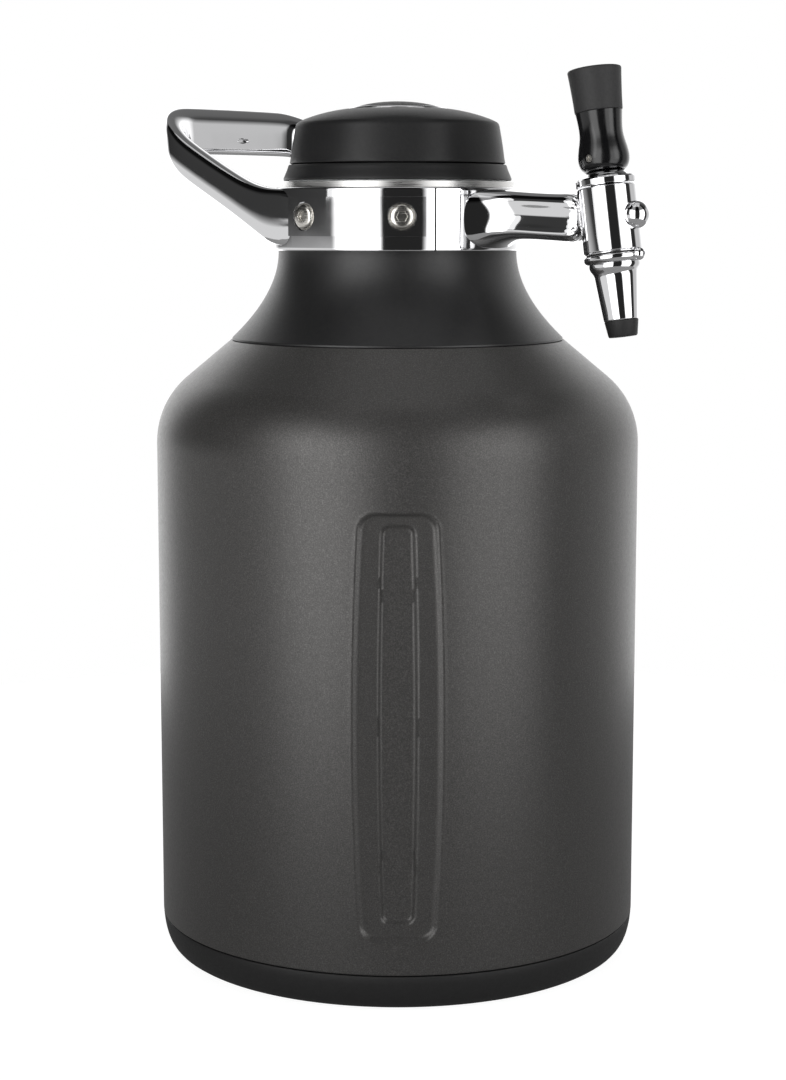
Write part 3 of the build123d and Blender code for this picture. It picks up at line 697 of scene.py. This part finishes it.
# ---- lever -------------------------------------------------------------------------------------
SCREW_UP = 19.8
lever_outline = (
    dome(9.8, 1.7, 6.8)
    + curve((7.1, 16.3), (8.1, 17.2), (8.7, 19.0), (8.35, 21.6), 9)
    + curve((8.35, 21.6), (7.9, 24.6), (7.0, 26.5), (7.15, 29.6), 7)[1:]
    + curve((7.15, 29.6), (7.25, 31.5), (7.5, 33.5), (7.7, 35.0), 5)[1:]
    + [(0, 35.0), (0, 23.1), (1.7, 23.1)]
)
collar_piece = mesh_object(turned(lever_outline, 80), TAP_PLACE)


def across_lever(side, distance):
    """A place on one side of the lever, facing outwards across it."""
    return (
        TAP_PLACE @ Matrix.Translation((0, side * distance * MM, SCREW_UP * MM))
        @ Matrix.Rotation(-side * pi / 2, 4, "X")
    )


screw_holes = [mesh_object(disc(1.55, 3.4, 32), across_lever(side, 9.0)) for side in (-1, 1)]
combine(collar_piece, screw_holes, "DIFFERENCE")
adopt(collar_piece, "lever_waist", "lever_collar", gloss_black, bevel=0.15)


def lever_screw(side):
    """A grub screw with a hexagon socket."""
    outline = [(0, -1.0), (1.4, -1.0), (1.4, 0.3), (1.2, 0.5), (0, 0.5)]
    screw = mesh_object(turned(outline, 28), across_lever(side, 7.6))
    socket = mesh_object(disc(0.75, 1.2, 6), across_lever(side, 8.2))
    combine(screw, [socket], "DIFFERENCE")
    return screw


lever_screws = [lever_screw(side) for side in (-1, 1)]
combine(lever_screws[0], lever_screws[1:], "UNION")
adopt(lever_screws[0], "lever_grub_screws", "lever_set_screws", screw_steel)

piece_from(
    turned(
        [(0, 35.1), (7.6, 35.1), (7.85, 35.4)]
        + curve((7.9, 36.0), (8.05, 40.0), (8.5, 45.0), (8.8, 48.2), 6)
        + curve((8.85, 48.4), (8.85, 49.0), (8.6, 49.2), (8.0, 49.2), 5) + [(6.2, 48.9), (0, 48.6)],
        80,
    ),
    "lever_grip_sleeve", "lever_grip", grip_black, TAP_PLACE, bevel=0.15,
)

# ---- cap and dial ------------------------------------------------------------------------------
piece_from(
    turned(
        [(15.1, 266), (34.4, 266), (34.4, 276.4), (38.8, 276.4), (38.8, 275.5), (40.2, 275.5), (40.3, 276.0)]
        + curve((40.2, 276.4), (39.6, 278.0), (38.9, 279.2), (38.6, 280.6), 6)
        + [(38.3, 281.0), (30, 281.0), (30, 289), (15.1, 289)],
        144,
    ),
    "cap_skirt", "cap_base", dial_black, bevel=0.15,
)
LOBES, LOBE_DEPTH = 8, 0.55              # faint flats round the dial's side


def dial_piece():
    """The dial, turned and then drawn in a little at each flat."""
    work = turned(
        [(30.06, 281.3), (37.8, 281.3), (38.2, 281.6), (38.3, 282.5)]
        + curve((38.2, 283.5), (37.8, 287.0), (37.2, 290.5), (36.6, 293.6), 8)
        + curve((36.55, 294.0), (36.3, 295.2), (35.9, 295.6), (35.0, 295.9), 6)
        + curve((34.6, 296.1), (29.5, 298.3), (23.5, 299.8), (18.2, 300.4), 9)
        + [(17.5, 300.3), (17.5, 298.2), (4.1, 298.2), (4.1, 289.6), (30.06, 289.6)],
        192,
    )
    for vert in work.verts:
        radius = hypot(vert.co.x, vert.co.y)
        share = smoothstep(33.0, 36.5, radius) * smoothstep(281.0, 283.0, vert.co.z)
        turn = atan2(vert.co.y, vert.co.x)
        flat = 1 - LOBE_DEPTH / radius * share * (0.5 + 0.5 * cos(LOBES * turn)) if radius else 1
        vert.co.x *= flat
        vert.co.y *= flat
    return piece_from(work, "dial_grip", "pressure_dial", dial_black, bevel=0.15)


dial_piece()
piece_from(
    turned(
        [(16.2, 298.2), (17.45, 298.2), (17.45, 300.5), (17.2, 300.85), (16.6, 301.1), (16.2, 301.0)],
        128,
    ),
    "dial_bezel_ring", "dial_bezel", tap_chrome, bevel=0.1,
)
piece_from(
    turned(
        [(0, 298.3), (16.1, 298.3), (16.1, 300.5)]
        + curve((15.9, 300.75), (11.5, 302.3), (6.0, 303.05), (0, 303.1), 10),
        128,
    ),
    "dial_dome", "dial_cap", dome_black, bevel=0.1,
)

# ---- floor, light and camera -------------------------------------------------------------------
FLOOR_R, FLOOR_DROP = 0.5, 0.0005       # metres
FLOOR_GLOW, FLOOR_BRIGHTNESS = 0.16, 0.93      # light that it gives to the object, and to the camera


def pale_floor():
    """A round white floor, bright to the camera and dimmer to the object."""
    work = bmesh.new()
    bmesh.ops.create_circle(work, cap_ends=True, segments=96, radius=FLOOR_R)
    mesh = bpy.data.meshes.new("floor")
    work.to_mesh(mesh)
    work.free()
    material = new_material("floor_white", (0.25, 0.25, 0.25), roughness=0.9, Emission_Color=(1, 1, 1, 1))
    nodes, links = material.node_tree.nodes, material.node_tree.links
    rays = nodes.new("ShaderNodeLightPath")
    glow = nodes.new("ShaderNodeMapRange")
    glow.inputs["To Min"].default_value = FLOOR_GLOW
    glow.inputs["To Max"].default_value = FLOOR_BRIGHTNESS
    links.new(rays.outputs["Is Camera Ray"], glow.inputs["Value"])
    feed(material, "Emission Strength", glow.outputs["Result"])
    mesh.materials.append(material)
    floor = bpy.data.objects.new("floor", mesh)
    bpy.context.scene.collection.objects.link(floor)
    floor.location.z = -FLOOR_DROP


def softbox(name, place, target, width, height, power):
    """A rectangular area light that looks at a point."""
    light = bpy.data.lights.new(name, "AREA")
    light.shape = "RECTANGLE"
    light.size, light.size_y = width, height
    light.energy = power
    lamp = bpy.data.objects.new(name, light)
    bpy.context.scene.collection.objects.link(lamp)
    lamp.location = place
    lamp.rotation_euler = (Vector(target) - Vector(place)).to_track_quat("-Z", "Y").to_euler()


# light of the room as (share of a turn, level), from the front by way of the left, the back and the right
ROOM_FRONT = [(0.00, 0.02), (0.035, 0.02), (0.052, 3.0), (0.135, 3.0)]
LEFT_WALL = [(0.165, 0.05), (0.36, 0.03)]        # above the table's height
LEFT_TABLE = [(0.165, 0.75), (0.36, 0.75)]       # below it
ROOM_REST = [
    (0.40, 1.9), (0.63, 1.3), (0.69, 0.6), (0.745, 0.6), (0.76, 0.03), (0.805, 0.03), (0.825, 2.1),
    (0.922, 2.1), (0.94, 0.02), (1.0, 0.02),
]


def studio_world():
    """A bright room with darker stretches that give polished metal its contrast, white to the camera."""
    world = bpy.data.worlds.new("studio")
    bpy.context.scene.world = world
    world.use_nodes = True
    nodes, links = world.node_tree.nodes, world.node_tree.links
    background = nodes["Background"]
    place = nodes.new("ShaderNodeTexCoord")
    direction = nodes.new("ShaderNodeSeparateXYZ")
    links.new(place.outputs["Generated"], direction.inputs["Vector"])
    turn = nodes.new("ShaderNodeMath")
    turn.operation = "ARCTAN2"
    links.new(direction.outputs["X"], turn.inputs[0])
    links.new(direction.outputs["Y"], turn.inputs[1])

    def mapped(value, low, high, to_low=0.0, to_high=1.0):
        """A value moved from one range to another."""
        node = nodes.new("ShaderNodeMapRange")
        node.inputs["From Min"].default_value = low
        node.inputs["From Max"].default_value = high
        node.inputs["To Min"].default_value = to_low
        node.inputs["To Max"].default_value = to_high
        links.new(value, node.inputs["Value"])
        return node.outputs["Result"]

    def room_levels(stops):
        """The room's light by direction, from (share of a turn, level) stops."""
        bands = nodes.new("ShaderNodeValToRGB")
        elements = bands.color_ramp.elements
        while len(elements) < len(stops):
            elements.new(0.5)
        for element, (position, level) in zip(elements, stops):
            element.position = position
            element.color = (level, level, level, 1)
        links.new(share, bands.inputs["Fac"])
        return bands.outputs["Color"]

    share = mapped(turn.outputs["Value"], -pi, pi)
    room = nodes.new("ShaderNodeMix")
    room.data_type = "RGBA"
    links.new(mapped(direction.outputs["Z"], 0.0, -0.08), room.inputs["Factor"])
    links.new(room_levels(ROOM_FRONT + LEFT_WALL + ROOM_REST), room.inputs["A"])
    links.new(room_levels(ROOM_FRONT + LEFT_TABLE + ROOM_REST), room.inputs["B"])
    rays = nodes.new("ShaderNodeLightPath")
    pick = nodes.new("ShaderNodeMix")
    pick.data_type = "RGBA"
    links.new(rays.outputs["Is Camera Ray"], pick.inputs["Factor"])
    links.new(room.outputs["Result"], pick.inputs["A"])
    pick.inputs["B"].default_value = (1, 1, 1, 1)
    links.new(pick.outputs["Result"], background.inputs["Color"])
    strength = nodes.new("ShaderNodeMix")
    links.new(rays.outputs["Is Camera Ray"], strength.inputs["Factor"])
    links.new(mapped(direction.outputs["Z"], 0.42, 0.62, 1.0, 0.10), strength.inputs["A"])
    strength.inputs["B"].default_value = 1.0
    links.new(strength.outputs["Result"], background.inputs["Strength"])


CAMERA_AT = Vector((-0.0016, -0.810, 0.2638))
CAMERA_DOWN = radians(8.2)
FOCAL_WIDTHS = 2261 / 786        # focal length in widths of the frame
SENSOR = 36.0

pale_floor()
softbox("left_box", (-1.1, -0.9, 0.75), (0, 0, 0.16), 0.7, 1.0, 2.2)
softbox("right_box", (1.2, -0.8, 0.6), (0, 0, 0.16), 0.6, 1.0, 1.6)
softbox("top_box", (0, -0.1, 1.5), (0, 0, 0.2), 1.0, 1.0, 1.5)
studio_world()

camera = bpy.data.cameras.new("camera")
camera.sensor_fit = "HORIZONTAL"
camera.sensor_width = SENSOR
camera.lens = FOCAL_WIDTHS * SENSOR
viewer = bpy.data.objects.new("camera", camera)
bpy.context.scene.collection.objects.link(viewer)
viewer.location = CAMERA_AT
viewer.rotation_euler = (pi / 2 - CAMERA_DOWN, 0, 0)
bpy.context.scene.camera = viewer
bpy.context.scene.view_settings.view_transform = "Standard"

bpy.context.view_layer.update()
